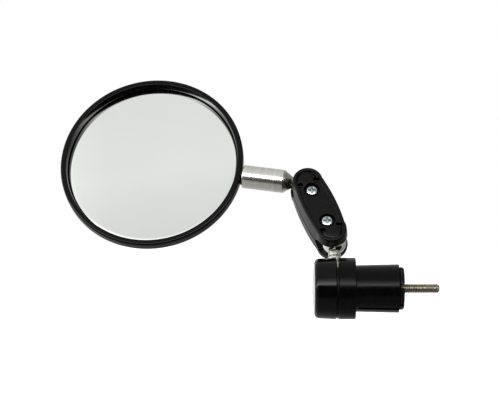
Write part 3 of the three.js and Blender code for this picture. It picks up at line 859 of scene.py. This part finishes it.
def seam_steel():
    """The swivel plate's steel: bright by the stud, with painted shade that darkens it lower down in
    the seam.
    """
    made = material("seam_steel", (0.3, 0.3, 0.28), 0.4, metallic=1)
    nodes, links = made.node_tree.nodes, made.node_tree.links
    place = nodes.new("ShaderNodeAttribute")
    place.attribute_name = DRAWN
    split = nodes.new("ShaderNodeSeparateXYZ")
    height = nodes.new("ShaderNodeMapRange")
    height.inputs["From Min"].default_value = PLATE_SHADE_START * PLATE_RADIUS
    height.inputs["From Max"].default_value = HUB_RADIUS
    links.new(place.outputs["Vector"], split.inputs["Vector"])
    links.new(split.outputs["Y"], height.inputs["Value"])
    vary_roughness(made, grain(made, 0.8), 0.32, 0.5)
    # painted shade: dark low in the seam, bright steel by the stud, by height
    vary_colour(made, height.outputs["Result"], (0.012, 0.012, 0.011), (0.66, 0.655, 0.61))
    add_bump(made, grain(made, 0.4), 0.003)
    return made


def ball_chrome():
    """Polished steel, with faint uneven wear."""
    made = material("ball_chrome", (0.8, 0.8, 0.77), 0.08, metallic=1)
    vary_roughness(made, grain(made, 1.5), 0.05, 0.13)
    vary_colour(made, grain(made, 2), (0.76, 0.755, 0.72), (0.84, 0.84, 0.82))
    add_bump(made, grain(made, 0.6), 0.001)
    return made


def zinc():
    """Bright zinc plate, with its bluish bloom."""
    made = material("zinc", (0.7, 0.77, 0.78), 0.25, metallic=1)
    vary_roughness(made, grain(made, 0.5), 0.16, 0.34)
    vary_colour(made, grain(made, 0.9), (0.44, 0.52, 0.53), (0.66, 0.7, 0.68))
    add_bump(made, grain(made, 0.3), 0.004)
    return made


def bolt_steel():
    """Plain brownish steel with a thin film of oil."""
    made = material("bolt_steel", (0.3, 0.27, 0.22), 0.35, metallic=1)
    vary_roughness(made, grain(made, 0.4), 0.25, 0.45)
    vary_colour(made, grain(made, 0.8), (0.27, 0.245, 0.19), (0.52, 0.48, 0.39))
    add_bump(made, grain(made, 0.25), 0.006)
    return made


def badge_silver():
    """Satin silver lacquer under a clear coat."""
    made = material("badge_silver", (0.66, 0.67, 0.68), 0.35, metallic=0.6, Coat_Weight=0.6)
    vary_roughness(made, grain(made, 0.5), 0.28, 0.4)
    vary_colour(made, grain(made, 0.3), (0.6, 0.61, 0.62), (0.72, 0.73, 0.74))
    add_bump(made, grain(made, 0.3), 0.002)
    return made


def foam():
    """Closed-cell foam, dull and uneven."""
    made = material("foam", (0.06, 0.06, 0.06), 0.9)
    vary_roughness(made, grain(made, 0.5), 0.85, 0.98)
    vary_colour(made, grain(made, 0.6), (0.035, 0.035, 0.035), (0.09, 0.09, 0.09))
    add_bump(made, grain(made, 0.5, detail=5), 0.15)
    return made


def mirror():
    """Silvered glass: a clear front over a bright metal coat, with faint smears."""
    made = material("mirror", (0.86, 0.885, 0.855), 0.02, metallic=1, Coat_Weight=1)
    vary_roughness(made, grain(made, 18), 0.01, 0.045)
    vary_colour(made, grain(made, 25), (0.85, 0.875, 0.845), (0.87, 0.895, 0.865))
    return made


# ---- assembly ----


def add_piece(name, mesh, place, body, finish, node):
    """Puts a shape in its local frame, on its body, in place of its CAD node."""
    drawn = mesh.attributes.new(DRAWN, "FLOAT_VECTOR", "POINT")
    for vertex, value in zip(mesh.vertices, drawn.data):
        value.vector = vertex.co
    bm = bmesh.new()
    bm.from_mesh(mesh)
    bmesh.ops.transform(bm, matrix=place @ Matrix.Scale(MM, 4), verts=bm.verts)
    bmesh.ops.recalc_face_normals(bm, faces=bm.faces)
    for face in bm.faces:
        face.smooth = True
    for edge in bm.edges:
        edge.smooth = edge.calc_face_angle(0) < SHARP
    bm.to_mesh(mesh)
    bm.free()
    mesh.materials.clear()
    mesh.materials.append(finish)
    piece = bpy.data.objects.new(name, mesh)
    bpy.context.scene.collection.objects.link(piece)
    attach(piece, body)
    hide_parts(node)
    return piece


def add_hub():
    polished = gloss_black()
    steel = bright_steel()
    plated = zinc()
    nut_end = CONE_END - BOLT_NUT_RECESS
    nut = nut_shape(BOLT_NUT_FLATS, nut_end - BOLT_NUT_HEIGHT, nut_end, BOLT_BORE)
    add_piece("plug", plug_shape(), HUB, "plug", plug_black(), "plug_body")
    add_piece("cap", cap_shape(), HUB, "plug", polished, "end_cap")
    add_piece("badge", badge_shape(), HUB, "plug", badge_silver(), "cap_badge")
    add_piece("washer", washer_shape(), HUB, "plug", plated, "bolt_washer")
    add_piece("bolt", bolt_shape(), HUB, "bolt", bolt_steel(), "clamp_bolt")
    add_piece("expander", expander_shape(), HUB, "expander", satin_black(), "expander_cone")
    add_piece("plug_nut", nut, HUB, "expander", plated, "expander_nut")
    add_piece("plate", plate_shape(), HUB, "swivel", seam_steel(), "swivel_plate")
    add_piece("stud", stud_shape(), STUD, "stud", steel, "ball_stud")
    return steel, plated, polished


def add_link(steel, plated):
    chrome = ball_chrome()
    painted = satin_black()
    ball_distance = (upper_ball - lower_ball).length / 2 / MM
    add_piece("ball_low", ball_shape(), STUD, "lower_ball", chrome, "lower_ball")
    add_piece("ball_high", ball_shape(), STEM, "upper_ball", chrome, "upper_ball")
    front = front_shell_shape(ball_distance)
    rear = rear_shell_shape(ball_distance)
    add_piece("front_shell", front, LINK, "link", painted, "link_front_shell")
    add_piece("rear_shell", rear, LINK, "link", painted, "link_rear_shell")
    for place, end in (("lower", -1), ("upper", 1)):
        seat = LINK @ Matrix.Translation((0, end * SCREW_FROM_MIDDLE * MM, 0))
        nut = nut_shape(NUT_FLATS, NUT_OUTER, NUT_OUTER + NUT_HEIGHT, SCREW_RADIUS + SEAM_GAP)
        add_piece(f"screw_{place}", screw_shape(), seat, f"{place}_screw", plated,
                  f"link_screw_{place}")
        add_piece(f"nut_{place}", nut, seat, "link", plated, f"link_nut_{place}")


def add_head(steel, polished):
    add_piece("stem_turned", stem_shape(), STEM, "stem", steel, "stem")
    add_piece("housing", housing_shape(), HEAD, "head", polished, "mirror_housing")
    add_piece("cushion", cushion_shape(), HEAD, "head", foam(), "glass_cushion")
    add_piece("glass", glass_shape(), HEAD, "head", mirror(), "mirror_glass")


# ---- studio ----

CAMERA_AIM = (-0.0435, 0.0365)  # x and z of the picture's centre
CAMERA_DISTANCE = 1.2
PICTURE_WIDTH = 0.20625  # at the hub's axis
SENSOR_WIDTH = 36
FLOOR_DROP = 0.11  # how far the floor lies under the hub's axis
FLOOR_HALF = 8  # half its side
FLOOR_GLOW = 0.35
# How bright the studio looks from the object, by angle: 0 is at the camera, 90 straight up
STUDIO_GLOW = [
    (-180, 0.7), (-140, 0.6), (-120, 0.55), (-100, 0.45), (-40, 0.35), (-30, 0.05), (12, 0.05),
    (17.5, 9.0), (22, 7.0), (28, 4.0), (33, 2.4), (39, 1.3), (44, 0.76), (48, 0.8), (52, 0.86),
    (60, 0.82), (110, 0.68), (130, 0.63), (180, 0.7),
]
# How much of that glow is left towards each side: -1 is at the mirror's side, 1 at the plug's
STUDIO_SIDES = [(-0.9, 1.8), (-0.3, 1), (0.25, 1), (0.7, 0.3), (1, 0.15)]
# The least glow towards each side, from walls
STUDIO_WALLS = [(-1, 0.7), (-0.45, 0), (0.45, 0), (1, 0.4)]


def add_camera():
    data = bpy.data.cameras.new("camera")
    data.sensor_width = SENSOR_WIDTH
    data.lens = SENSOR_WIDTH * CAMERA_DISTANCE / PICTURE_WIDTH
    data.clip_start = 0.05
    data.clip_end = 20
    camera = bpy.data.objects.new("camera", data)
    bpy.context.scene.collection.objects.link(camera)
    camera.location = (CAMERA_AIM[0], -CAMERA_DISTANCE, CAMERA_AIM[1])
    camera.rotation_euler = (math.radians(90), 0, 0)
    bpy.context.scene.camera = camera


def add_floor():
    pale = material("pale_floor", (0.92, 0.92, 0.91), 0.85)
    vary_colour(pale, grain(pale, 300), (0.91, 0.91, 0.905), (0.93, 0.93, 0.925))
    shader = pale.node_tree.nodes["Principled BSDF"]
    shader.inputs["Emission Color"].default_value = (1, 1, 1, 1)
    shader.inputs["Emission Strength"].default_value = FLOOR_GLOW
    corners = [(x * FLOOR_HALF, y * FLOOR_HALF) for x, y in ((-1, -1), (1, -1), (1, 1), (-1, 1))]
    mesh = bpy.data.meshes.new("floor")
    mesh.from_pydata([(x, y, -FLOOR_DROP) for x, y in corners], [], [(0, 1, 2, 3)])
    mesh.materials.append(pale)
    floor = bpy.data.objects.new("floor", mesh)
    bpy.context.scene.collection.objects.link(floor)
    floor.visible_glossy = False


def ramp_over(world, source, furthest, stops, scale):
    """The value that the stops give a source that runs from -furthest to furthest."""
    nodes, links = world.node_tree.nodes, world.node_tree.links
    share = nodes.new("ShaderNodeMapRange")
    share.inputs["From Min"].default_value = -furthest
    share.inputs["From Max"].default_value = furthest
    ramp = nodes.new("ShaderNodeValToRGB")
    largest = max(value for _, value in stops)
    while len(ramp.color_ramp.elements) < len(stops):
        ramp.color_ramp.elements.new(0.5)
    for element, (place, value) in zip(ramp.color_ramp.elements, stops):
        element.position = (place / scale + 1) / 2
        element.color = (value / largest,) * 3 + (1,)
    links.new(source, share.inputs["Value"])
    links.new(share.outputs["Result"], ramp.inputs["Fac"])
    return calculated(world, "MULTIPLY", ramp.outputs["Color"], largest)


def calculated(world, operation, first, second):
    """The result of a sum on two values, each of which is a number or comes from a node."""
    node = world.node_tree.nodes.new("ShaderNodeMath")
    node.operation = operation
    for socket, value in zip(node.inputs, (first, second)):
        if isinstance(value, (int, float)):
            socket.default_value = value
        else:
            world.node_tree.links.new(value, socket)
    return node.outputs["Value"]


def add_world():
    """A white room to the eye, which lights the object as soft boxes round a camera do."""
    world = bpy.data.worlds.new("studio")
    bpy.context.scene.world = world
    world.use_nodes = True
    nodes, links = world.node_tree.nodes, world.node_tree.links
    place = nodes.new("ShaderNodeTexCoord")
    split = nodes.new("ShaderNodeSeparateXYZ")
    links.new(place.outputs["Generated"], split.inputs["Vector"])
    towards_camera = calculated(world, "MULTIPLY", split.outputs["Y"], -1)
    angle = calculated(world, "ARCTAN2", split.outputs["Z"], towards_camera)
    glow = ramp_over(world, angle, math.pi, STUDIO_GLOW, 180)
    side = ramp_over(world, split.outputs["X"], 1, STUDIO_SIDES, 1)
    walls = ramp_over(world, split.outputs["X"], 1, STUDIO_WALLS, 1)
    lit = calculated(world, "MAXIMUM", calculated(world, "MULTIPLY", glow, side), walls)
    lamp = nodes["Background"]
    lamp.inputs["Color"].default_value = (1, 1, 1, 1)
    links.new(lit, lamp.inputs["Strength"])
    backdrop = nodes.new("ShaderNodeBackground")
    backdrop.inputs["Color"].default_value = (1, 1, 1, 1)
    seen = nodes.new("ShaderNodeLightPath")
    mix = nodes.new("ShaderNodeMixShader")
    links.new(seen.outputs["Is Camera Ray"], mix.inputs["Fac"])
    links.new(lamp.outputs["Background"], mix.inputs[1])
    links.new(backdrop.outputs["Background"], mix.inputs[2])
    links.new(mix.outputs["Shader"], nodes["World Output"].inputs["Surface"])


def add_lamp(name, place, size, watts):
    """A soft area lamp aimed at the object, which lights it without a mirrored outline."""
    data = bpy.data.lights.new(name, "AREA")
    data.size = size
    data.energy = watts
    lamp = bpy.data.objects.new(name, data)
    bpy.context.scene.collection.objects.link(lamp)
    lamp.location = place
    lamp.rotation_euler = (-Vector(place)).to_track_quat("-Z", "Y").to_euler()
    lamp.visible_glossy = False


add_camera()
turned_steel, zinc_plate, polished_black = add_hub()
add_link(turned_steel, zinc_plate)
add_head(turned_steel, polished_black)
add_floor()
add_world()
add_lamp("key_lamp", (-0.9, -1.0, 1.4), 1.2, 9)
add_lamp("fill_lamp", (1.2, -0.4, 1.0), 1.2, 4)
bpy.context.scene.view_settings.view_transform = "Standard"
